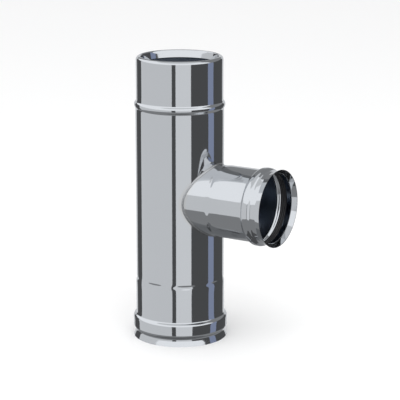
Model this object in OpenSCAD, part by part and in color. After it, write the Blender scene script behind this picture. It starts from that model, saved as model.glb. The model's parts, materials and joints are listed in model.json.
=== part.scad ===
// Stove pipe tee: a bright stainless run with a smaller branch square to it.
// The top of the run is a spigot. The bottom of the run and the end of the branch are sockets,
// each with pressed stop dimples, a seal bead, a neck and a flared mouth.
// The origin is on the run's axis in the plane of its bottom rim. +Z goes up the run and
// +X goes out along the branch. Lengths are in millimetres.

/* [Sheet] */
// Thickness of the stainless sheet
wall = 0.6; // [0.4:0.1:1]
// Straight pieces that each round bend of a profile is made of
bend_steps = 6; // [3:1:10]
// Pieces round each circle
smooth = 144; // [48:8:192]

/* [Run] */
// Height of the run, from rim to rim
run_height = 325; // [300:1:400]
// Outer diameter of the run's body
run_d = 100; // [96:0.5:110]

/* [Spigot at the top of the run] */
// How much smaller the spigot is than the body, in diameter
spigot_step = 1.7; // [1:0.1:3]
// Length of the spigot, from the retaining bead to the crown
spigot_length = 49; // [35:1:60]
// Length of the retaining bead below the spigot
retaining_length = 10.8; // [8:0.2:14]
// Height that the retaining bead stands out from the body
retaining_rise = 1.4; // [0.8:0.1:2]
// Outer bend radius of the spigot's crown
crown_radius = 4; // [2:0.5:5]
// Inner bend radius of the spigot's crown
crown_fold = 1.5; // [1.2:0.1:2]
// Length of the turned-in lip inside the crown
lip_length = 7.5; // [5:0.2:12]
// Lean of the turned-in lip from the run's axis
lip_lean = 14; // [5:1:20]

/* [Sockets] */
// Depth of the run's socket, from its rim to the middle of its stop dimples
socket_depth = 68.4; // [60:0.2:90]
// Length of the tapered step where each tube widens to its socket
step_length = 7; // [4:0.5:8]
// Bend radius between a neck and the straight cone of its flare
flare_bend = 4; // [2:0.5:8]
// Length along the tube of each shoulder of a seal bead
bead_shoulder = 5.8; // [5:0.1:7]

/* [Run socket] */
// How much wider the run's socket is than the body, in diameter
run_socket_step = 1.1; // [0.8:0.1:3]
// Length of the flared mouth at the bottom of the run
run_flare_length = 7; // [5:0.1:10]
// Height that the run's rim stands out from the socket wall
run_flare_rise = 3.05; // [2:0.05:4]
// Length of the run's neck, between the flare and the seal bead
run_neck_length = 0.3; // [0.1:0.1:6]
// Height that the run's neck stands out from the socket wall
run_neck_rise = 0.75; // [0.2:0.05:1.2]
// Length of the run's seal bead
run_bead_length = 21; // [18:0.2:24]
// Height that the run's seal bead stands out from the socket wall
run_bead_rise = 3.35; // [2.8:0.05:4]
// Number of stop dimples round the run
run_stops = 8; // [4:1:9]
// Turn of the run's ring of dimples
run_stop_turn = -4; // [-20:1:20]

/* [Branch] */
// Outer diameter of the branch tube
branch_d = 80.6; // [70:0.2:86]
// Height of the branch's axis above the bottom rim
branch_z = 165.2; // [150:0.2:190]
// Reach of the branch, from the run's axis to its rim
branch_reach = 128.9; // [110:0.1:160]
// Plain stretch of the branch between its saddle weld and the step to its socket
branch_plain = 5.2; // [2:0.2:12]
// How much wider the branch's socket is than its tube, in diameter
branch_socket_step = 1.2; // [0.8:0.1:3]
// Length of the branch's flared mouth
branch_flare_length = 7.2; // [5:0.1:10]
// Height that the branch's rim stands out from its socket wall
branch_flare_rise = 2.6; // [1.8:0.05:4]
// Length of the branch's neck, between the flare and the seal bead
branch_neck_length = 4; // [0.1:0.1:6]
// Height that the branch's neck stands out from its socket wall
branch_neck_rise = 0.3; // [0.2:0.05:1.2]
// Length of the branch's seal bead
branch_bead_length = 14.4; // [13:0.2:20]
// Height that the branch's seal bead stands out from its socket wall
branch_bead_rise = 2.9; // [2.6:0.05:4]
// Number of stop dimples round the branch
branch_stops = 9; // [4:1:9]
// Turn of the branch's ring of dimples
branch_stop_turn = -8; // [-20:1:20]

/* [Stop dimples] */
// Width of a dimple along the tube
dimple_width = 6; // [4:0.2:7]
// Depth of a dimple in its middle
dimple_depth = 0.7; // [0.5:0.1:1.6]
// Length of plain wall between two dimples of the run
run_stop_gap = 5; // [3:0.5:12]
// Length of plain wall between two dimples of the branch
branch_stop_gap = 7; // [3:0.5:12]

/* [Welds] */
// Leg of the saddle weld on each tube
weld_leg = 1.8; // [1:0.1:3]
// How full the weld's face is, as a share of its leg
weld_fullness = 0.2; // [0:0.05:0.4]
// Cross-sections round the saddle weld
weld_sections = 120; // [60:10:200]
// Straight pieces across the weld's face
weld_steps = 4; // [2:1:6]
// Width of the long seams
seam_width = 2; // [1:0.2:3]
// Height of the long seams
seam_rise = 0.25; // [0.1:0.05:0.4]
// Clearance that keeps a weld's own solid off the sheet
weld_clearance = 0.03; // [0.01:0.01:0.06]

/* [Seals] */
// Clearance between a seal and the hollow of its bead
seal_clearance = 0.05; // [0.02:0.01:0.15]
// How far a seal's lips stand back from the bore, relaxed
seal_setback = 0.2; // [0.1:0.05:0.4]
// Number of lips on a seal
seal_lips = 3; // [2:1:4]
// Depth of the grooves between a seal's lips
lip_groove = 0.9; // [0.4:0.1:1.2]
// How far a seal's edge stands back from the neck
seal_edge = 1.2; // [1:0.1:3]
// How far a seal's inner edge stands back from the inner end of its bead
seal_inset = 5.4; // [2:0.1:6]

/* [Hidden] */

run_r = run_d / 2;
spigot_r = run_r - spigot_step / 2;
run_socket_r = run_r + run_socket_step / 2;
branch_r = branch_d / 2;
branch_socket_r = branch_r + branch_socket_step / 2;
// How far a cutting shape runs past what it cuts
past = 5;
// How far each dimple's cutting ring runs past the dimple's end, in degrees
swing_past = 1;

// The branch's socket goes as deep as the plain stretch behind it lets it
branch_socket_depth = branch_reach - run_r - weld_leg - branch_plain - step_length / 2;

// A socket is [wall radius, flare length, flare rise, neck length, neck rise, bead length,
// bead rise, depth, tube radius], where each rise is measured from the socket wall
run_socket = [run_socket_r, run_flare_length, run_flare_rise, run_neck_length, run_neck_rise,
              run_bead_length, run_bead_rise, socket_depth, run_r];
branch_socket = [branch_socket_r, branch_flare_length, branch_flare_rise, branch_neck_length,
                 branch_neck_rise, branch_bead_length, branch_bead_rise, branch_socket_depth, branch_r];

// Profiles are drawn as [radius, height] from the rim inwards. Each takes the distance d that it
// lies inside the sheet's outer face, so that d = wall gives the inner face of the same sheet.

// Points of an arc round c
function arc(c, r, from, to) =
    [for (i = [0 : bend_steps]) let (a = from + (to - from) * i / bend_steps) c + r * [cos(a), sin(a)]];

// An S-bend between two upright stretches: a first bend that takes a share of it, then a second
function s_bend(from, to, d, share = 0.5) =
    let (rise = to[0] - from[0],
         run = to[1] - from[1],
         turn = 2 * atan(abs(rise) / run),
         first = share * run / sin(turn),
         second = (1 - share) * run / sin(turn))
    rise > 0
    ? concat(arc(from + [first, 0], first + d, 180, 180 - turn),
             arc(to - [second, 0], second - d, -turn, 0))
    : concat(arc(from - [first, 0], first - d, 0, turn),
             arc(to + [second, 0], second + d, 180 + turn, 180));

// The flared mouth: a cone that is cut square at the rim and bends into the upright neck
function flare(s, d) =
    let (length = s[1],
         rise = s[2] - s[4],
         root = sqrt(pow(length, 2) - rise * (2 * flare_bend - rise)),
         lean = 2 * atan(rise / (length + root)),
         centre = [s[0] + s[4] + flare_bend, length],
         foot = centre - (flare_bend + d) * [cos(lean), sin(lean)])
    concat([[foot[0] + foot[1] * tan(lean), 0]], arc(centre, flare_bend + d, 180 + lean, 180));

// Heights of the seal bead's two ends
function bead_start(s) = s[1] + s[3];
function bead_end(s) = bead_start(s) + s[5];

// The seal bead, from the neck over its level crest to the plain socket wall
function bead(s, d) =
    let (crest_r = s[0] + s[6])
    concat(s_bend([s[0] + s[4], bead_start(s)], [crest_r, bead_start(s) + bead_shoulder], d, 0.4),
           s_bend([crest_r, bead_end(s) - bead_shoulder], [s[0], bead_end(s)], d, 0.6));

// A whole socket, from its rim to the tube behind the step
function socket(s, d) = concat(
    flare(s, d),
    bead(s, d),
    [[s[0] - d, s[7] - step_length / 2], [s[8] - d, s[7] + step_length / 2]]);

spigot_foot = run_height - spigot_length;
crown_centre = [spigot_r - crown_radius, run_height - crown_radius];

// The retaining bead under the spigot
function retaining(d) =
    let (crest = [run_r + retaining_rise, spigot_foot - retaining_length / 2])
    concat(s_bend([run_r, spigot_foot - retaining_length], crest, d, 0.4),
           s_bend(crest, [spigot_r, spigot_foot], d, 0.6));

// The crown and the lip that turns in from it
function crown(d) =
    let (fold = crown_centre + [0, crown_radius - crown_fold],
         leaves = 180 - lip_lean,
         lip_start = fold + (crown_fold - d) * [cos(leaves), sin(leaves)])
    concat(arc(crown_centre, crown_radius - d, 0, 90),
           arc(fold, crown_fold - d, 90, leaves),
           [lip_start + lip_length * [-sin(lip_lean), -cos(lip_lean)]]);

function run_profile(d) = concat(socket(run_socket, d), retaining(d), crown(d));
function branch_profile(d) = concat(socket(branch_socket, d), [[branch_r - d, branch_reach]]);

// The solid that a profile's outer face encloses
function filled(outer) =
    let (end = outer[len(outer) - 1])
    concat([[0, 0]], outer, [[0, end[1]]]);
// What is cut out of it: the space inside the inner face, open past both ends
function hollow(outer, inner) =
    let (end = outer[len(outer) - 1])
    concat([[0, -past], [inner[0][0], -past]], inner, [end, [0, end[1] + past]]);

// Stop dimples: each is cut by part of a ring that curves less than the tube and bites into it
// only in the middle, so the groove is deepest there and fades out at its ends. The same rings
// made one wall thicker give the humps that the dimples leave on the inner face.
module dimples(s, count, gap, turn, extra) {
    face_r = (s[0] + s[8]) / 2;
    bend = (pow(dimple_width / 2, 2) + pow(dimple_depth, 2)) / (2 * dimple_depth);
    pitch = 360 / count;
    // Angle round the tube from a dimple's middle to its end
    reach = pitch / 2 - gap / 2 / face_r * 180 / PI;
    setback = dimple_depth / (1 - cos(reach));
    // The same reach round the ring's own centre, and a little more to clear the tube
    swing = atan2(face_r * sin(reach), face_r * cos(reach) + setback) + swing_past;
    for (i = [0 : count - 1]) rotate([0, 0, turn + i * pitch]) translate([-setback, 0, s[7]])
        rotate([0, 0, -swing]) rotate_extrude(angle = 2 * swing, $fn = smooth)
            translate([face_r - dimple_depth + bend + setback, 0])
                circle(r = bend + extra, $fn = smooth / 2);
}

// A formed tube: rolled sheet with a socket at its start and a ring of dimples behind it
module formed_tube(outer, inner, s, count, gap, turn) difference() {
    rotate_extrude($fn = smooth) polygon(filled(outer));
    dimples(s, count, gap, turn, 0);
    difference() {
        rotate_extrude($fn = smooth) polygon(hollow(outer, inner));
        dimples(s, count, gap, turn, wall);
    }
}

// Lies along the branch, from its rim towards the run's axis
module along_branch() translate([branch_reach, 0, branch_z]) rotate([0, -90, 0]) children();

module run_pipe() color([0.78, 0.79, 0.81]) difference() {
    formed_tube(run_profile(0), run_profile(wall), run_socket, run_stops, run_stop_gap, run_stop_turn);
    translate([0, 0, branch_z]) rotate([0, 90, 0])
        cylinder(r = branch_r - wall, h = run_r + past, $fn = smooth);
}

// The branch's inside end is cut to the run's outer face, which it sits on
module branch_pipe() color([0.80, 0.81, 0.83]) difference() {
    along_branch() formed_tube(branch_profile(0), branch_profile(wall), branch_socket,
                               branch_stops, branch_stop_gap, branch_stop_turn);
    cylinder(r = run_r, h = run_height, $fn = smooth);
}

function unit(v) = v / norm(v);

// One cross-section of the saddle weld, at angle t round the branch's axis: the corner where the
// two tubes meet, a leg along each tube, and a slightly full face between the legs
function weld_section(t) =
    let (y = branch_r * cos(t),
         x = sqrt(pow(run_r, 2) - pow(y, 2)),
         off_run = [x, y, 0] / run_r,
         off_branch = [0, cos(t), sin(t)],
         overlap = off_run * off_branch,
         corner = [x, y, branch_z + branch_r * sin(t)] + weld_clearance * (off_run + off_branch),
         run_toe = corner + weld_leg * unit(off_branch - overlap * off_run),
         branch_toe = corner + weld_leg * unit(off_run - overlap * off_branch),
         middle = (run_toe + branch_toe) / 2,
         crown = middle + weld_fullness * weld_leg * unit(middle - corner))
    concat([corner], [for (i = [0 : weld_steps])
        let (f = i / weld_steps)
        pow(1 - f, 2) * run_toe + 2 * f * (1 - f) * crown + pow(f, 2) * branch_toe]);

// A closed ring of equal cross-sections, joined face to face
module ring_of(sections) {
    count = len(sections);
    sides = len(sections[0]);
    polyhedron(points = [for (section = sections, p = section) p],
               faces = [for (i = [0 : count - 1], j = [0 : sides - 1])
                   let (next = (i + 1) % count, up = (j + 1) % sides)
                   each [[i * sides + j, next * sides + j, next * sides + up],
                         [i * sides + j, next * sides + up, i * sides + up]]]);
}

module saddle_weld() color([0.62, 0.63, 0.65])
    ring_of([for (i = [0 : weld_sections - 1]) weld_section(-i * 360 / weld_sections)]);

// A straight seam on a tube of radius r, between two heights
module long_seam(r, from, to) {
    half = seam_width / 2 / r * 180 / PI;
    rotate([0, 0, -half]) rotate_extrude(angle = 2 * half, $fn = smooth)
        translate([r + weld_clearance, from]) square([seam_rise - weld_clearance, to - from]);
}

// The run's seam lies opposite the branch, between the socket and the retaining bead
module run_seam() color([0.70, 0.71, 0.73])
    rotate([0, 0, 180])
        long_seam(run_r, socket_depth + step_length / 2, spigot_foot - retaining_length);

// The branch's seam lies on its side, between the socket and the saddle weld
module branch_seam() color([0.70, 0.71, 0.73]) {
    saddle_x = sqrt(pow(run_r, 2) - pow(branch_r, 2));
    along_branch() rotate([0, 0, 90])
        long_seam(branch_r, branch_socket_depth + step_length / 2,
                  branch_reach - saddle_x - weld_leg * 2);
}

// A ring seal: its back fills the hollow of the bead, its face is a row of lips
module seal(s) {
    face_r = s[0] - wall + seal_setback;
    back_r = s[0] + s[6];
    start = bead_start(s) + seal_edge;
    end = bead_end(s) - seal_inset;
    rotate_extrude($fn = smooth) intersection() {
        polygon(concat(bead(s, wall + seal_clearance),
                       [[face_r - past, bead_end(s)], [face_r - past, bead_start(s)]]));
        polygon(concat([for (i = [0 : 2 * seal_lips])
                            [face_r + (i % 2 == 0 ? lip_groove : 0),
                             start + (end - start) * i / (2 * seal_lips)]],
                       [[back_r, end], [back_r, start]]));
    }
}

module run_seal() color([0.08, 0.08, 0.09]) seal(run_socket);
module branch_seal() color([0.08, 0.08, 0.09]) along_branch() seal(branch_socket);

run_pipe();
branch_pipe();
saddle_weld();
run_seam();
branch_seam();
run_seal();
branch_seal();
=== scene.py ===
# %% [markdown]
# # A stainless stove pipe tee
# This lesson dresses a stove pipe tee: an upright run of bright sheet steel with a smaller branch
# welded square to it. A mirror-bright tube has hardly any colour of its own. What the eye reads is
# its outline and the room that it reflects, so most of the work goes into clean rolled forms, and
# into the studio that stands round them.

# %% Load the frame
import json
from math import asin, atan, atan2, cos, degrees, hypot, pi, radians, sin, sqrt, tan

import bpy
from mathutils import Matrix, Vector


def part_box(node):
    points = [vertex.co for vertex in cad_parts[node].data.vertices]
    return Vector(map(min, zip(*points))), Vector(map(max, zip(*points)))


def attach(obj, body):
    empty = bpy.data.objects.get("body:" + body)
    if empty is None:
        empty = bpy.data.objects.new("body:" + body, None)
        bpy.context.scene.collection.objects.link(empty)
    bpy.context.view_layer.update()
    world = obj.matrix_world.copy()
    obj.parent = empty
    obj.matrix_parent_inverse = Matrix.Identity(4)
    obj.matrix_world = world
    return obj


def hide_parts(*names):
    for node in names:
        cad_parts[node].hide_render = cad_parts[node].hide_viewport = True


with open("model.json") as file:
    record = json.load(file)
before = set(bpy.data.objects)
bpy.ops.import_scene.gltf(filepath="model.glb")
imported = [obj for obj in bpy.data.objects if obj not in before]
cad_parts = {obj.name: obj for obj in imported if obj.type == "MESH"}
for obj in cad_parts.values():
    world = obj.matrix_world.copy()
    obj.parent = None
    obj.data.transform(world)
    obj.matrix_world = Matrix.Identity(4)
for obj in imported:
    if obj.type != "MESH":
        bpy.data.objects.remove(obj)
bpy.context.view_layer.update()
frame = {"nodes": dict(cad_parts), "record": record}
MM = 0.001
print("nodes in the frame:", ", ".join(sorted(frame["nodes"])))

# %% [markdown]
# ## The sizes
# A dressed piece has to lie exactly where the solid lies that it stands for. So the main sizes are
# not typed again: the radii come from the mounts, where another pipe would plug in, and the height
# and the reach come from the solids' own boxes. Only the small bends are named here.

# %% Read the main sizes from the frame
mounts = {mount["name"]: mount for mount in frame["record"]["mounts"]}
WALL = 0.6 * MM
RUN_SOCKET_STEP = 0.55 * MM
BRANCH_SOCKET_STEP = 0.6 * MM
SPIGOT_R = mounts["spigot"]["dims"]["r_mm"] * MM
RUN_SOCKET_R = mounts["run_socket"]["dims"]["r_mm"] * MM + WALL
BRANCH_SOCKET_R = mounts["branch_socket"]["dims"]["r_mm"] * MM + WALL
RUN_R = RUN_SOCKET_R - RUN_SOCKET_STEP
BRANCH_R = BRANCH_SOCKET_R - BRANCH_SOCKET_STEP
BRANCH_Z = mounts["branch_socket"]["pos_m"][2]
RUN_HEIGHT = round(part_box("run_pipe")[1][2], 5)
BRANCH_REACH = round(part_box("branch_pipe")[1][0], 5)
print(f"run {RUN_HEIGHT:.4f} m high, radius {RUN_R:.4f}")
print(f"branch reach {BRANCH_REACH:.4f} m, radius {BRANCH_R:.4f}")

# %% [markdown]
# ## The formed ends
# Each end of a flue pipe is rolled to a fixed profile: a mouth that flares, a bead that holds a seal,
# and a step down to the tube. Both sockets have the same make-up with other sizes, so each is one
# dictionary, and the helpers below build either socket from its own.

# %% Name the sizes of the formed ends
SOCKET_DEPTH = 68.4 * MM
STEP_LENGTH = 7 * MM
FLARE_BEND = 4 * MM
BEAD_SHOULDER = 5.8 * MM
SPIGOT_LENGTH = 49 * MM
RETAINING_LENGTH = 10.8 * MM
RETAINING_RISE = 1.4 * MM
CROWN_RADIUS = 4 * MM
CROWN_FOLD = 1.5 * MM
LIP_LENGTH = 7.5 * MM
LIP_LEAN = radians(14)
RUN_SOCKET = dict(wall=RUN_SOCKET_R, tube=RUN_R, flare=7 * MM, flare_rise=3.05 * MM,
                  neck=0.3 * MM, neck_rise=0.75 * MM, bead=21 * MM, bead_rise=3.35 * MM,
                  stops=8, turn=radians(-4), gap=5 * MM)
BRANCH_SOCKET = dict(wall=BRANCH_SOCKET_R, tube=BRANCH_R, flare=7.2 * MM, flare_rise=2.6 * MM,
                     neck=4 * MM, neck_rise=0.3 * MM, bead=14.4 * MM, bead_rise=2.9 * MM,
                     stops=9, turn=radians(-8), gap=7 * MM)
print("stop dimples:", RUN_SOCKET["stops"], "on the run,", BRANCH_SOCKET["stops"], "on the branch")

# %% [markdown]
# ## The camera
# The photograph is a product picture taken with a long lens from a little above, with the branch
# turned towards the viewer. A long lens far away keeps both tubes nearly free of perspective. The
# camera is placed by the view's turn and by its real distance, and then aimed.

# %% Place the camera
VIEW_TURN = radians(57.8)
VIEW_DISTANCE = 1.856
VIEW_SIDE = 0.0228
VIEW_HEIGHT = 0.610
AIM_HEIGHT = 0.1586
LENS = 150.6

sight = Vector((-cos(VIEW_TURN), sin(VIEW_TURN), 0))
right = Vector((sin(VIEW_TURN), cos(VIEW_TURN), 0))
target = right * VIEW_SIDE + Vector((0, 0, AIM_HEIGHT))
place = right * VIEW_SIDE - sight * VIEW_DISTANCE + Vector((0, 0, VIEW_HEIGHT))
bpy.ops.object.camera_add(location=place, rotation=(target - place).to_track_quat("-Z", "Y").to_euler())
camera = bpy.context.object
camera.name = "studio_camera"
camera.data.lens = LENS
camera.data.clip_end = 100
bpy.context.scene.camera = camera
look_down = degrees(asin((place - target).normalized().z))
print("camera at", [round(v, 3) for v in place], "looking down", round(look_down, 1))

# %% [markdown]
# ## Small helpers for modelling
# Blender's operators act on whatever is selected, and loading the frame leaves its nodes selected.
# So each piece starts from a clean slate, and one helper runs operators in edit mode. The last
# helper settles a piece in its mesh, smooths it and hands it to the frame in place of its solid.

# %% Helpers: a clean start, edit mode, and a finished piece
def clean_start():
    if bpy.context.object and bpy.context.object.mode != "OBJECT":
        bpy.ops.object.mode_set(mode="OBJECT")
    bpy.ops.object.select_all(action="DESELECT")


def edit(piece, *steps):
    """Runs operators in edit mode with everything selected."""
    clean_start()
    bpy.context.view_layer.objects.active = piece
    piece.select_set(True)
    bpy.ops.object.mode_set(mode="EDIT")
    bpy.ops.mesh.select_all(action="SELECT")
    for step in steps:
        step()
    bpy.ops.object.mode_set(mode="OBJECT")


def finish_piece(piece, node, material, sharp=radians(35)):
    """Settles the place in the mesh, smooths it, and hands it to the frame."""
    clean_start()
    bpy.context.view_layer.objects.active = piece
    piece.select_set(True)
    bpy.ops.object.transform_apply(location=True, rotation=True, scale=True)
    bpy.ops.object.shade_smooth_by_angle(angle=sharp)
    piece.data.materials.clear()
    piece.data.materials.append(material)
    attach(piece, "root")
    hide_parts(node)
    low, high = Vector(piece.bound_box[0]), Vector(piece.bound_box[6])
    print(f"{piece.name}: {len(piece.data.polygons)} faces, {[round(v / MM, 1) for v in high - low]} mm")


print("modelling helpers ready")

# %% [markdown]
# ## A lathe
# A rolled tube is the same all the way round, so it could be built from rings one by one, but a
# spin is simpler. A turned piece begins as a circle with one vertex for each point of its outline.
# The vertices are moved onto the outline, and the outline is spun round the tube's axis. The last
# ring then meets the first, so doubles are merged before the normals are made to point outwards.

# %% Helper: spin a closed outline round an axis
TURN_STEPS = 240


def lathe(name, outline, place_point, centre, axis, steps=TURN_STEPS):
    """outline holds (radius, distance along the axis) pairs; place_point turns a pair into a point."""
    clean_start()
    bpy.ops.mesh.primitive_circle_add(vertices=len(outline), radius=0.01)
    piece = bpy.context.object
    piece.name = name
    for vertex, pair in zip(piece.data.vertices, outline):
        vertex.co = place_point(*pair)
    edit(piece,
         lambda: bpy.ops.mesh.spin(steps=steps, angle=2 * pi, center=centre, axis=axis),
         lambda: bpy.ops.mesh.select_all(action="SELECT"),
         lambda: bpy.ops.mesh.remove_doubles(threshold=0.00001),
         lambda: bpy.ops.mesh.normals_make_consistent(inside=False))
    return piece


print("steps in one turn:", TURN_STEPS)

# %% [markdown]
# ## The section of the sheet
# Both tubes are one thickness of sheet, rolled and then formed by pairs of rollers, so every bend
# is an arc that runs smoothly into the next stretch. The outline is written once as a face that
# lies a distance d inside the outer face. With d at nothing it is the outer face, and with d at the
# sheet's thickness it is the inner one, so the wall stays the same all the way.

# %% Arcs and S-bends
BEND_STEPS = 8


def arc(centre, radius, start, end, steps=BEND_STEPS):
    angles = [start + (end - start) * i / steps for i in range(steps + 1)]
    return [(centre[0] + radius * cos(a), centre[1] + radius * sin(a)) for a in angles]


def s_bend(start, end, d, share):
    """Two arcs between upright stretches: the first takes a share of the length."""
    rise, run = end[0] - start[0], end[1] - start[1]
    turn = 2 * atan(abs(rise) / run)
    first, second = share * run / sin(turn), (1 - share) * run / sin(turn)
    if rise > 0:
        return (arc((start[0] + first, start[1]), first + d, pi, pi - turn)
                + arc((end[0] - second, end[1]), second - d, -turn, 0)[1:])
    return (arc((start[0] - first, start[1]), first - d, 0, turn)
            + arc((end[0] + second, end[1]), second + d, pi + turn, pi)[1:])


def straight(start, end, longest):
    """Points along a straight stretch, none further apart than longest, without its first."""
    count = max(1, round(hypot(end[0] - start[0], end[1] - start[1]) / longest))
    return [(start[0] + (end[0] - start[0]) * i / count, start[1] + (end[1] - start[1]) * i / count)
            for i in range(1, count + 1)]


print("outline helpers ready, with", BEND_STEPS, "steps in a bend")

# %% [markdown]
# ## The socket's profile
# From the rim inwards, the socket is a short cone that bends into a neck, a seal bead with a level
# crest between two S-bends, a plain wall, and a step down to the tube. Written with named lengths it
# serves both sockets, and a drawn curve would serve only one.

# %% The socket: flared mouth, neck, seal bead, plain wall and step
DIMPLE_ROW = 0.5 * MM


def flare(s, d):
    """A cone cut square at the rim that bends into the upright neck."""
    length, rise = s["flare"], s["flare_rise"] - s["neck_rise"]
    root = sqrt(length ** 2 - rise * (2 * FLARE_BEND - rise))
    lean = 2 * atan(rise / (length + root))
    centre = (s["wall"] + s["neck_rise"] + FLARE_BEND, length)
    bend = arc(centre, FLARE_BEND + d, pi + lean, pi)
    rim = (bend[0][0] + bend[0][1] * tan(lean), 0)
    return [rim] + straight(rim, bend[0], 3 * MM) + bend[1:]


def bead_ends(s):
    start = s["flare"] + s["neck"]
    return start, start + s["bead"]


def bead(s, d):
    """Up one shoulder, along a level crest, and down the other shoulder."""
    start, end = bead_ends(s)
    crest_r = s["wall"] + s["bead_rise"]
    rise = s_bend((s["wall"] + s["neck_rise"], start), (crest_r, start + BEAD_SHOULDER), d, 0.4)
    fall = s_bend((crest_r, end - BEAD_SHOULDER), (s["wall"], end), d, 0.6)
    return rise + straight(rise[-1], fall[0], 3 * MM) + fall[1:]


def socket(s, d):
    face = flare(s, d)
    face += bead(s, d)
    step_start = (s["wall"] - d, SOCKET_DEPTH - STEP_LENGTH / 2)
    step_end = (s["tube"] - d, SOCKET_DEPTH + STEP_LENGTH / 2)
    return face + straight(face[-1], step_start, 6 * MM) + straight(step_start, step_end, DIMPLE_ROW)


print("points on the run's socket:", len(socket(RUN_SOCKET, 0)))

# %% [markdown]
# ## The spigot's profile
# The top end slides into the next pipe. A low bead stops it there, and the rim is rolled over in a
# rounded crown, so that no cut edge shows. Two arcs of falling radius make the crown, and the lip
# that hangs inside leans a little towards the axis.

# %% The spigot: retaining bead, straight stretch, rounded crown and turned-in lip
def spigot(d):
    foot = RUN_HEIGHT - SPIGOT_LENGTH
    crest = (RUN_R + RETAINING_RISE, foot - RETAINING_LENGTH / 2)
    face = (s_bend((RUN_R, foot - RETAINING_LENGTH), crest, d, 0.4)
            + s_bend(crest, (SPIGOT_R, foot), d, 0.6)[1:])
    crown = (SPIGOT_R - CROWN_RADIUS, RUN_HEIGHT - CROWN_RADIUS)
    fold = (crown[0], crown[1] + CROWN_RADIUS - CROWN_FOLD)
    face += straight(face[-1], (SPIGOT_R - d, crown[1]), 6 * MM)
    face += arc(crown, CROWN_RADIUS - d, 0, pi / 2)[1:]
    face += arc(fold, CROWN_FOLD - d, pi / 2, pi - LIP_LEAN)[1:]
    lip_end = (face[-1][0] - LIP_LENGTH * sin(LIP_LEAN), face[-1][1] - LIP_LENGTH * cos(LIP_LEAN))
    return face + straight(face[-1], lip_end, 3 * MM)


print("points on the spigot:", len(spigot(0)))

# %% [markdown]
# ## The stop dimples
# A pipe that is pushed into a socket stops against a ring of short grooves, pressed in from
# outside with a flat punch. A boolean would leave hard edges there. Pressed sheet has soft
# shoulders, so the rows of vertices are laid close together where the ring comes, and each vertex
# is pushed towards the axis. The push is deepest in a dimple's middle and fades out at its ends,
# so the groove's bottom is flatter than the tube, as a flat punch leaves it.

# %% Press the dimples into a tube
DIMPLE_WIDTH = 7.6 * MM
DIMPLE_DEPTH = 0.6 * MM
DIMPLE_FADE = 0.2


def dimple_depth_at(s, around, along):
    """How deep the sheet is pressed, at an angle round the tube and a distance from its rim."""
    pitch = 2 * pi / s["stops"]
    reach = pitch / 2 - s["gap"] / 2 / s["wall"]
    off_middle = abs((around - s["turn"] + pitch / 2) % pitch - pitch / 2) / reach
    off_line = abs(along - SOCKET_DEPTH) * 2 / DIMPLE_WIDTH
    if off_middle >= 1 or off_line >= 1:
        return 0
    fade = min(1, (1 - off_middle) / DIMPLE_FADE)
    lengthwise = (1 - off_middle ** 2) * fade * (2 - fade)
    return DIMPLE_DEPTH * lengthwise * (1 + cos(pi * off_line)) / 2


def press_dimples(piece, s, to_tube, from_tube):
    pressed = 0
    for vertex in piece.data.vertices:
        radius, around, along = to_tube(vertex.co)
        depth = dimple_depth_at(s, around, along)
        if depth > 0:
            vertex.co = from_tube(radius - depth, around, along)
            pressed += 1
    print(f"{piece.name}: {pressed} vertices pressed into dimples")


print("dimple depth", DIMPLE_DEPTH, "m, width", DIMPLE_WIDTH, "m")

# %% [markdown]
# ## The run
# The run is the upright tube. Its outline is spun first, and its dimples are pressed after that. The
# rows of faces between socket and spigot lie close together, so that the cut for the branch, which
# comes next, leaves no long thin faces that would bend the reflections.

# %% Model the run
HOLE_ROW = 3.5 * MM


def run_face(d):
    face = socket(RUN_SOCKET, d)
    upper = spigot(d)
    return face + straight(face[-1], upper[0], HOLE_ROW) + upper[1:]


def around_run(co):
    return hypot(co.x, co.y), atan2(co.y, co.x), co.z


def on_run(radius, around, along):
    return Vector((radius * cos(around), radius * sin(around), along))


run = lathe("run_shell", run_face(0) + run_face(WALL)[::-1], lambda r, along: Vector((r, 0, along)),
            centre=(0, 0, 0), axis=(0, 0, 1))
press_dimples(run, RUN_SOCKET, around_run, on_run)

# %% [markdown]
# ## The hole for the branch
# The flue gas needs a way from the branch into the run. The hole's edge lies on a saddle that no row
# of the tube follows, so a boolean cuts it, with a cylinder of the branch's own bore. The cylinder
# starts off the run's axis, so the far wall stays whole.

# %% Cut the hole for the branch
HOLE_LENGTH = 0.06
HOLE_START = 5 * MM
clean_start()
bpy.ops.mesh.primitive_cylinder_add(vertices=TURN_STEPS, radius=BRANCH_R - WALL, depth=HOLE_LENGTH,
                                    location=(HOLE_LENGTH / 2 + HOLE_START, 0, BRANCH_Z),
                                    rotation=(0, pi / 2, 0))
cutter = bpy.context.object
cut = run.modifiers.new("branch_hole", "BOOLEAN")
cut.operation = "DIFFERENCE"
cut.solver = "EXACT"
cut.object = cutter
clean_start()
bpy.context.view_layer.objects.active = run
run.select_set(True)
bpy.ops.object.modifier_apply(modifier=cut.name)
bpy.data.objects.remove(cutter)
print("run after the cut:", len(run.data.polygons), "faces")

# %% [markdown]
# ## The branch
# The branch is spun in the same way round its own axis. Its inside end sits on the run, so the last
# ring of vertices slides along the branch until it meets the run's outer face. That gives the
# saddle line exactly, and no boolean touches the mirror.

# %% Model the branch
def branch_face(d):
    face = socket(BRANCH_SOCKET, d)
    return face + [(BRANCH_R - d, BRANCH_REACH)]


def around_branch(co):
    return hypot(co.y, co.z - BRANCH_Z), atan2(co.y, co.z - BRANCH_Z), BRANCH_REACH - co.x


def on_branch(radius, around, along):
    return Vector((BRANCH_REACH - along, radius * sin(around), BRANCH_Z + radius * cos(around)))


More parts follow.
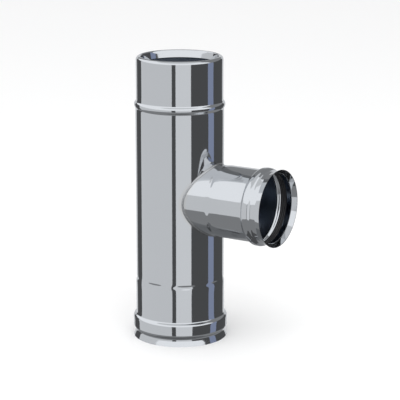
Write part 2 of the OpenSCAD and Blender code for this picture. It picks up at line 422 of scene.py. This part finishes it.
branch = lathe("branch_shell", branch_face(0) + branch_face(WALL)[::-1],
               lambda r, along: on_branch(r, 0, along), centre=(0, 0, BRANCH_Z), axis=(1, 0, 0))
press_dimples(branch, BRANCH_SOCKET, around_branch, on_branch)
for vertex in branch.data.vertices:
    if vertex.co.x < 1 * MM:
        vertex.co.x = sqrt(RUN_R ** 2 - vertex.co.y ** 2)
print("branch after the saddle:", len(branch.data.polygons), "faces")

# %% [markdown]
# ## The saddle weld
# A fine bead of weld follows the line where the tubes meet. A spun outline has the right make-up
# for it: rings of vertices in a closed loop. Each ring is then moved to its place on the saddle and
# laid out as the weld's own section, with a leg on each tube and a slightly full face. The vertices
# start a centimetre apart across the ring, so that each one's radius tells which point it is. The
# fullness swells and shrinks from ring to ring, which gives the ripples that a welder's pulse leaves.

# %% Model the saddle weld
WELD_LEG = 1.5 * MM
WELD_FULLNESS = 0.16
WELD_RIPPLE = 0.07
WELD_RIPPLES = 150
WELD_RINGS = WELD_RIPPLES * 6
WELD_SIDES = 8
WELD_CLEARANCE = 0.03 * MM
SORTING_PITCH = 0.01


def weld_ring(turn):
    """The weld's section at an angle round the branch, as points in order round the section."""
    y = BRANCH_R * cos(turn)
    x = sqrt(RUN_R ** 2 - y ** 2)
    off_run = Vector((x, y, 0)) / RUN_R
    off_branch = Vector((0, cos(turn), sin(turn)))
    corner = Vector((x, y, BRANCH_Z + BRANCH_R * sin(turn))) + WELD_CLEARANCE * (off_run + off_branch)
    overlap = off_run.dot(off_branch)
    run_toe = corner + WELD_LEG * (off_branch - overlap * off_run).normalized()
    branch_toe = corner + WELD_LEG * (off_run - overlap * off_branch).normalized()
    middle = (run_toe + branch_toe) / 2
    ripple = WELD_FULLNESS + WELD_RIPPLE * sin(turn * WELD_RIPPLES)
    crown = middle + 2 * ripple * WELD_LEG * (middle - corner).normalized()
    shares = [i / (WELD_SIDES - 2) for i in range(WELD_SIDES - 1)]
    return [corner] + [(1 - f) ** 2 * run_toe + 2 * f * (1 - f) * crown + f ** 2 * branch_toe for f in shares]


weld = lathe("weld_bead", [(BRANCH_R + SORTING_PITCH * side, 0.01) for side in range(WELD_SIDES)],
             lambda r, along: on_branch(r, 0, along), centre=(0, 0, BRANCH_Z), axis=(1, 0, 0),
             steps=WELD_RINGS)
for vertex in weld.data.vertices:
    side = round((hypot(vertex.co.y, vertex.co.z - BRANCH_Z) - BRANCH_R) / SORTING_PITCH)
    turn = atan2(vertex.co.z - BRANCH_Z, vertex.co.y)
    vertex.co = weld_ring(turn)[side]
edit(weld, lambda: bpy.ops.mesh.normals_make_consistent(inside=False))
print("weld:", WELD_RINGS, "rings,", WELD_RIPPLES, "ripples")

# %% [markdown]
# ## The long seams
# Each tube was a flat sheet before it was rolled, and its edges were welded together. On the tee
# the two seams lie on the sides away from the camera, as narrow strips. A flat grid gets its
# thickness by an extrusion, and each vertex is then carried round the tube. Its crown is a little
# full, with the same kind of ripple as the saddle weld.

# %% Model the long seams
SEAM_WIDTH = 2 * MM
SEAM_RISE = 0.25 * MM
SEAM_COLUMNS = 8
SEAM_RIPPLE = 0.05 * MM
SEAM_ROW = 0.45 * MM


def long_seam(name, radius, start, end, middle_angle, place):
    """A strip bent round a tube: a grid gets its thickness, then each vertex finds its place."""
    rows = round((end - start) / SEAM_ROW)
    clean_start()
    bpy.ops.mesh.primitive_grid_add(x_subdivisions=SEAM_COLUMNS, y_subdivisions=rows, size=1)
    strip = bpy.context.object
    strip.name = name
    edit(strip, lambda: bpy.ops.mesh.extrude_region_move(TRANSFORM_OT_translate={"value": (0, 0, 1)}),
         lambda: bpy.ops.mesh.select_all(action="SELECT"),
         lambda: bpy.ops.mesh.normals_make_consistent(inside=False))
    for vertex in strip.data.vertices:
        across, along = 2 * vertex.co.x, start + (vertex.co.y + 0.5) * (end - start)
        top = vertex.co.z > 0.5
        crowned = (SEAM_RISE - SEAM_RIPPLE) * (1 - across ** 4 * 0.8)
        rise = crowned + SEAM_RIPPLE * (0.5 + 0.5 * sin(along / SEAM_ROW * pi / 3)) if top else WELD_CLEARANCE
        around = middle_angle + across * SEAM_WIDTH / 2 / radius
        vertex.co = place(radius + max(rise, WELD_CLEARANCE), around, along)
    edit(strip, lambda: bpy.ops.mesh.normals_make_consistent(inside=False))
    return strip


seam_start = SOCKET_DEPTH + STEP_LENGTH / 2
run_seam_end = RUN_HEIGHT - SPIGOT_LENGTH - RETAINING_LENGTH
run_seam = long_seam("run_seam_strip", RUN_R, seam_start, run_seam_end, pi, on_run)
branch_seam_end = BRANCH_REACH - sqrt(RUN_R ** 2 - BRANCH_R ** 2) - 2 * WELD_LEG
branch_seam = long_seam("branch_seam_strip", BRANCH_R, seam_start, branch_seam_end, pi / 2, on_branch)
print(f"seams: {run_seam_end - seam_start:.4f} m and {branch_seam_end - seam_start:.4f} m long")

# %% [markdown]
# ## The ring seals
# A silicone ring lies in the hollow of each seal bead. Its back follows the bead, and its face has
# lips that close on the pipe that is pushed in. Only the edge of it shows, deep in the mouth.

# %% Model the ring seals
SEAL_CLEARANCE = 0.05 * MM
SEAL_SETBACK = 0.2 * MM
SEAL_EDGE = 1.2 * MM
SEAL_INSET = 5.4 * MM
SEAL_LIPS = 3
SEAL_STEPS = 120
LIP_GROOVE = 0.9 * MM
LIP_STEPS = 6


def seal_outline(s):
    face_r = s["wall"] - WALL + SEAL_SETBACK
    bead_start, bead_end = bead_ends(s)
    start, end = bead_start + SEAL_EDGE, bead_end - SEAL_INSET
    back = [p for p in bead(s, WALL + SEAL_CLEARANCE) if start <= p[1] <= end]
    first, last = back[0][1], back[-1][1]
    waves = [i / (SEAL_LIPS * 2 * LIP_STEPS) for i in range(SEAL_LIPS * 2 * LIP_STEPS + 1)]
    face = [(face_r + LIP_GROOVE * (0.5 + 0.5 * cos(w * SEAL_LIPS * 2 * pi)) * sin(pi * w) ** 0.3,
             last + (first - last) * w) for w in waves]
    return back + face


run_seal = lathe("run_seal_ring", seal_outline(RUN_SOCKET), lambda r, along: Vector((r, 0, along)),
                 centre=(0, 0, 0), axis=(0, 0, 1), steps=SEAL_STEPS)
branch_seal = lathe("branch_seal_ring", seal_outline(BRANCH_SOCKET),
                    lambda r, along: on_branch(r, 0, along),
                    centre=(0, 0, BRANCH_Z), axis=(1, 0, 0), steps=SEAL_STEPS)
print("seals:", len(run_seal.data.polygons), "and", len(branch_seal.data.polygons), "faces")

# %% [markdown]
# ## A small language for materials
# Node trees are easier to read as sums. A Value wraps one socket, and adding or multiplying it adds
# a Math node. Every other node comes from one method that takes the node's type, its settings and
# its inputs.

# %% The Value and Material classes
class Value:
    def __init__(self, tree, socket):
        self.tree, self.socket = tree, socket

    def math(self, operation, *others):
        return self.tree.node("ShaderNodeMath", {"operation": operation},
                              {i: v for i, v in enumerate((self, *others))})

    def __add__(self, other):
        return self.math("ADD", other)

    def __sub__(self, other):
        return self.math("SUBTRACT", other)

    def __rsub__(self, other):
        return self.tree.node("ShaderNodeMath", {"operation": "SUBTRACT"}, {0: other, 1: self})

    def __mul__(self, other):
        return self.math("MULTIPLY", other)

    def __pow__(self, other):
        return self.math("POWER", other)

    __radd__, __rmul__ = __add__, __mul__


class Material:
    def __init__(self, name):
        self.data = bpy.data.materials.new(name)
        self.data.use_nodes = True
        self.tree = self.data.node_tree
        self.tree.nodes.clear()
        self.shader = self.tree.nodes.new("ShaderNodeBsdfPrincipled")
        output = self.tree.nodes.new("ShaderNodeOutputMaterial")
        self.tree.links.new(self.shader.outputs[0], output.inputs["Surface"])

    def node(self, kind, settings=None, inputs=None, output=0):
        node = self.tree.nodes.new(kind)
        for name, value in (settings or {}).items():
            setattr(node, name, value)
        for name, value in (inputs or {}).items():
            self.feed(node.inputs[name], value)
        return Value(self, node.outputs[output])

    def feed(self, socket, value):
        if isinstance(value, Value):
            self.tree.links.new(value.socket, socket)
        else:
            socket.default_value = value

    def set(self, **values):
        for name, value in values.items():
            self.feed(self.shader.inputs[name.replace("_", " ")], value)
        return self.data

    def position(self):
        return self.node("ShaderNodeTexCoord", output="Object")

    def parts(self, vector):
        split = self.node("ShaderNodeSeparateXYZ", inputs={"Vector": vector}).socket.node
        return [Value(self, split.outputs[i]) for i in range(3)]

    def stretch(self, vector, x, y, z):
        return self.node("ShaderNodeMapping", inputs={"Vector": vector, "Scale": (x, y, z)})

    def noise(self, vector, scale, detail=2.0, roughness=0.5):
        return self.node("ShaderNodeTexNoise", inputs={
            "Vector": vector, "Scale": scale, "Detail": detail, "Roughness": roughness})

    def ramp(self, value, low, high):
        return self.node("ShaderNodeMapRange", {"interpolation_type": "SMOOTHSTEP"},
                         {"Value": value, "From Min": low, "From Max": high})

    def blend(self, share, first, second):
        mix = self.node("ShaderNodeMix", {"data_type": "RGBA"}).socket.node
        for name, value in zip(("Factor_Float", "A_Color", "B_Color"), (share, first, second)):
            self.feed(next(s for s in mix.inputs if s.identifier == name), value)
        return Value(self, next(s for s in mix.outputs if s.identifier == "Result_Color"))

    def bump(self, height, distance, strength=1.0):
        return self.node("ShaderNodeBump", inputs={
            "Height": height, "Distance": distance, "Strength": strength})


print("material helpers ready")

# %% [markdown]
# ## Bright annealed steel
# The sheet is a mirror with a faint grey of its own. Three things keep it from looking like plain
# chrome: very fine lines from rolling, a soft unevenness of the polish, and the trace of straw
# colour that heat leaves beside the weld. Each is weak, because the photograph is nearly clean. The
# inner face of such sheet is often left dull from the mill, so a mark on each inward face makes it
# rougher there. The same mark also gives the inward faces a darker, bluish colour: painted shade for
# the hollow inside of the tubes. The mark is an attribute of the mesh, so it travels with the piece.

# %% Make the sheet steel
STEEL = (0.600, 0.612, 0.625, 1)
STEEL_DARKER = (0.555, 0.568, 0.585, 1)
HEAT_STRAW = (0.58, 0.56, 0.52, 1)
POLISH = 0.035
HEAT_REACH = 3.5 * MM
# Painted shade: a darker, bluish colour for the inward faces of the tubes.
INSIDE_PAINTED_SHADE = (0.34, 0.385, 0.45, 1)
MILL_ROUGHNESS = 0.30


def mark_inside(piece, to_tube, first, last):
    """Gives every corner of an inward face between two distances the attribute value one."""
    mark = piece.data.attributes.new("inside", "FLOAT", "CORNER")
    marked = 0
    for face in piece.data.polygons:
        radius, _, along = to_tube(face.center)
        further_in = to_tube(face.center + face.normal * MM)[0]
        inward = first < along < last and further_in < radius - 0.5 * MM
        for corner in face.loop_indices:
            mark.data[corner].value = inward
        marked += inward
    print(f"{piece.name}: {marked} faces marked as inside")


def sheet_steel(name, along_axis, off_weld):
    """along_axis is 0 for a tube along X and 2 for one along Z; off_weld measures from the weld."""
    steel = Material(name)
    where = steel.position()
    lengthwise, crosswise = 40, 2600
    grain_scale = [crosswise] * 3
    grain_scale[along_axis] = lengthwise
    grain = steel.noise(steel.stretch(where, *grain_scale), 1.0, 3.0)
    clouds = steel.noise(where, 14.0, 3.0)
    smudges = steel.ramp(steel.noise(where, 45.0, 5.0, 0.6), 0.52, 0.72)
    heat = 1 - steel.ramp(off_weld(steel, where), 0.4 * HEAT_REACH, HEAT_REACH)
    colour = steel.blend(clouds * 0.5 + grain * 0.2, STEEL, STEEL_DARKER)
    colour = steel.blend(heat * 0.35, colour, HEAT_STRAW)
    inside = steel.node("ShaderNodeAttribute", {"attribute_name": "inside"}, output="Fac")
    # The inward faces take the painted shade colour, a darker bluish grey for the tubes' insides.
    colour = steel.blend(inside, colour, INSIDE_PAINTED_SHADE)
    rough = POLISH + clouds * 0.015 + grain * 0.02 + smudges * 0.02 + heat * 0.06 + inside * MILL_ROUGHNESS
    ripples = steel.noise(steel.stretch(where, 18, 18, 18), 1.0, 1.0)
    return steel.set(Base_Color=colour, Metallic=1.0, Roughness=rough,
                     Normal=steel.bump(ripples * 0.6 + grain * 0.004, 0.05 * MM))


def from_weld_on_run(steel, where):
    x, y, z = steel.parts(where)
    across = z - BRANCH_Z
    from_branch = ((y * y + across * across) ** 0.5 - BRANCH_R).math("ABSOLUTE")
    return from_branch + steel.ramp(x, 0.0, -2 * MM)


def from_weld_on_branch(steel, where):
    x, y, _ = steel.parts(where)
    return (x * x + y * y) ** 0.5 - RUN_R


mark_inside(run, around_run, bead_ends(RUN_SOCKET)[1], RUN_HEIGHT - 3 * CROWN_RADIUS)
mark_inside(branch, around_branch, bead_ends(BRANCH_SOCKET)[1], BRANCH_REACH)
run_steel = sheet_steel("bright_steel_run", 2, from_weld_on_run)
branch_steel = sheet_steel("bright_steel_branch", 0, from_weld_on_branch)
print("sheet steel: roughness from", POLISH)

# %% [markdown]
# ## Weld metal and seal rubber
# The weld is the same steel, left a little duller and rippled. The seal is black silicone with a
# soft sheen and a fine bloom of dust.

# %% Make the weld metal and the rubber
def weld_metal():
    metal = Material("weld_metal")
    where = metal.position()
    grit = metal.noise(where, 900.0, 4.0)
    clouds = metal.noise(where, 120.0, 2.0)
    colour = metal.blend(clouds, (0.46, 0.47, 0.48, 1), (0.40, 0.40, 0.40, 1))
    return metal.set(Base_Color=colour, Metallic=1.0, Roughness=0.12 + grit * 0.12,
                     Normal=metal.bump(grit, 0.02 * MM))


def seal_rubber():
    rubber = Material("seal_silicone")
    where = rubber.position()
    dust = rubber.ramp(rubber.noise(where, 160.0, 5.0), 0.45, 0.75)
    colour = rubber.blend(dust * 0.5, (0.012, 0.012, 0.014, 1), (0.05, 0.05, 0.052, 1))
    return rubber.set(Base_Color=colour, Roughness=0.38 + dust * 0.25,
                      Normal=rubber.bump(rubber.noise(where, 1500.0, 3.0), 0.02 * MM))


weld_steel, rubber = weld_metal(), seal_rubber()

print("made", weld_steel.name, "and", rubber.name)

# %% [markdown]
# ## Hand the pieces to the frame
# Every piece takes the place of one solid, which is hidden, rides on the one body there is, and
# gets the material that was made for it.

# %% Finish the pieces
finish_piece(run, "run_pipe", run_steel)
finish_piece(branch, "branch_pipe", branch_steel)
finish_piece(weld, "saddle_weld", weld_steel, sharp=radians(60))
finish_piece(run_seam, "run_seam", weld_steel)
finish_piece(branch_seam, "branch_seam", weld_steel)
finish_piece(run_seal, "run_seal", rubber, sharp=radians(60))
finish_piece(branch_seal, "branch_seal", rubber, sharp=radians(60))

# %% [markdown]
# ## The studio
# The floor is pale and keeps the tee's shadow. It stays out of reflections, because a mirror would
# show its far edge as a hard line.

# %% Lay the floor
FLOOR_SIZE = 60
floor_paint = Material("pale_floor").set(Base_Color=(0.97, 0.97, 0.97, 1), Roughness=0.6)
clean_start()
bpy.ops.mesh.primitive_plane_add(size=FLOOR_SIZE, location=(0, 0, 0))
floor = bpy.context.object
floor.name = "studio_floor"
floor.data.materials.append(floor_paint)
floor.visible_glossy = False
print("floor:", FLOOR_SIZE, "m wide")

# %% [markdown]
# ## The world
# The world lights the tee evenly from all round. To the camera, and in reflections and through
# glass, it is plain white. The Light Path node tells these rays apart.

# %% Make the white world
world = bpy.data.worlds.new("studio_world")
bpy.context.scene.world = world
world.use_nodes = True
nodes, links = world.node_tree.nodes, world.node_tree.links
nodes.clear()
path = nodes.new("ShaderNodeLightPath")
either = nodes.new("ShaderNodeMath")
either.operation = "MAXIMUM"
seen = nodes.new("ShaderNodeMath")
seen.operation = "MAXIMUM"
links.new(path.outputs["Is Camera Ray"], either.inputs[0])
links.new(path.outputs["Is Glossy Ray"], either.inputs[1])
links.new(either.outputs[0], seen.inputs[0])
links.new(path.outputs["Is Transmission Ray"], seen.inputs[1])
ambient = nodes.new("ShaderNodeBackground")
ambient.inputs["Color"].default_value = (1, 1, 1, 1)
ambient.inputs["Strength"].default_value = 1.0
backdrop = nodes.new("ShaderNodeBackground")
backdrop.inputs["Color"].default_value = (1, 1, 1, 1)
backdrop.inputs["Strength"].default_value = 1.0
choose = nodes.new("ShaderNodeMixShader")
output = nodes.new("ShaderNodeOutputWorld")
links.new(seen.outputs[0], choose.inputs["Fac"])
links.new(ambient.outputs[0], choose.inputs[1])
links.new(backdrop.outputs[0], choose.inputs[2])
links.new(choose.outputs[0], output.inputs["Surface"])
print("world nodes:", len(nodes))

# %% [markdown]
# ## The lamp
# One broad disk above and to the side gives a soft shadow. It is hidden from reflections, where it
# would be a hard white spot.

# %% Hang the lamp
bpy.ops.object.light_add(type="AREA", location=(0.9, -1.2, 2.2))
lamp = bpy.context.object
lamp.name = "soft_lamp"
lamp.data.shape = "DISK"
lamp.data.size = 2.0
lamp.data.energy = 22
lamp.rotation_euler = (Vector((0, 0, 0.1)) - lamp.location).to_track_quat("-Z", "Y").to_euler()
lamp.visible_glossy = False
print("lamp of", lamp.data.energy, "W")

# %% [markdown]
# ## One card on a dome
# A mirror shows whatever stands round it, so a photographer puts up cards and soft boxes and watches
# the reflections move. A card here is a patch of a far dome between two turns and two heights. It
# gives off its own light, and only reflections see it.

# %% Helper: one card on the dome
CARD_DISTANCE = 12.0
CARD_CENTRE = Vector((0, 0, 0.16))
CARD_PIECE = 5.0


def card(name, left, right_end, low, high, colour):
    """A patch of dome. Turns are counted from the camera's side, to the right in the picture."""
    across = max(1, round((right_end - left) / CARD_PIECE))
    upward = max(1, round((high - low) / CARD_PIECE))
    clean_start()
    bpy.ops.mesh.primitive_grid_add(x_subdivisions=across, y_subdivisions=upward, size=1)
    patch = bpy.context.object
    patch.name = name
    for vertex in patch.data.vertices:
        turn = radians(left + (vertex.co.x + 0.5) * (right_end - left)) - VIEW_TURN
        height = radians(low + (vertex.co.y + 0.5) * (high - low))
        out = Vector((cos(turn) * cos(height), sin(turn) * cos(height), sin(height)))
        vertex.co = CARD_CENTRE + CARD_DISTANCE * out
    glow = bpy.data.materials.new(name)
    glow.use_nodes = True
    glow.node_tree.nodes.clear()
    emission = glow.node_tree.nodes.new("ShaderNodeEmission")
    emission.inputs["Color"].default_value = (*colour, 1)
    surface = glow.node_tree.nodes.new("ShaderNodeOutputMaterial")
    glow.node_tree.links.new(emission.outputs[0], surface.inputs["Surface"])
    patch.data.materials.append(glow)
    for ray in ("camera", "diffuse", "transmission", "volume_scatter", "shadow"):
        setattr(patch, f"visible_{ray}", False)


def grey(level):
    return (level, level * 1.02, level * 1.05)


print("card helper ready")

# %% [markdown]
# ## A few broad panels
# A bright tube looks right when it shows large light areas with a few dark edges between them. So
# there is a broad soft box on the left and in front, a narrow flag and a strip light beside it, a
# wide dark flag on the right, a cool blue panel further round, and light from behind. Above, all is
# bright apart from one dark flag, and a darker table lies below, which shades the undersides. The
# turns and levels are round numbers. They lie where the photograph's metal is broadly light, dark or
# blue, and its fine stripes are left out.

# %% Put up the panels
AT_EYE_LEVEL = (-25, 15)
ABOVE = (15, 60)
COOL_BLUE = (0.3, 0.35, 0.5)
panels = [
    ("soft_box_front", -120, -20, AT_EYE_LEVEL, grey(0.8)),
    ("narrow_flag", -20, -10, AT_EYE_LEVEL, grey(0.1)),
    ("strip_light", -10, 30, AT_EYE_LEVEL, grey(0.9)),
    ("wide_flag", 30, 80, AT_EYE_LEVEL, grey(0.1)),
    ("blue_panel", 80, 100, AT_EYE_LEVEL, COOL_BLUE),
    ("flag_right_back", 100, 150, AT_EYE_LEVEL, grey(0.1)),
    ("light_back", 150, 210, AT_EYE_LEVEL, grey(0.7)),
    ("flag_left_back", 210, 240, AT_EYE_LEVEL, grey(0.1)),
    ("soft_box_above", -150, 90, ABOVE, grey(1.2)),
    ("flag_above", 90, 210, ABOVE, grey(0.3)),
    ("overhead", -180, 180, (60, 89), grey(0.8)),
    ("table", -180, 180, (-60, -25), grey(0.3)),
    ("below", -180, 180, (-89, -60), grey(0.1)),
]
for name, left, right_end, (low, high), colour in panels:
    card(f"card_{name}", left, right_end, low, high, colour)
print("panels:", len(panels))

# %% [markdown]
# ## The view
# The view settings stay plain, so that a colour renders as it is written.

# %% Set the view
bpy.context.scene.view_settings.view_transform = "Standard"

# %% Hand over to the frame
print("pieces ready for the frame")
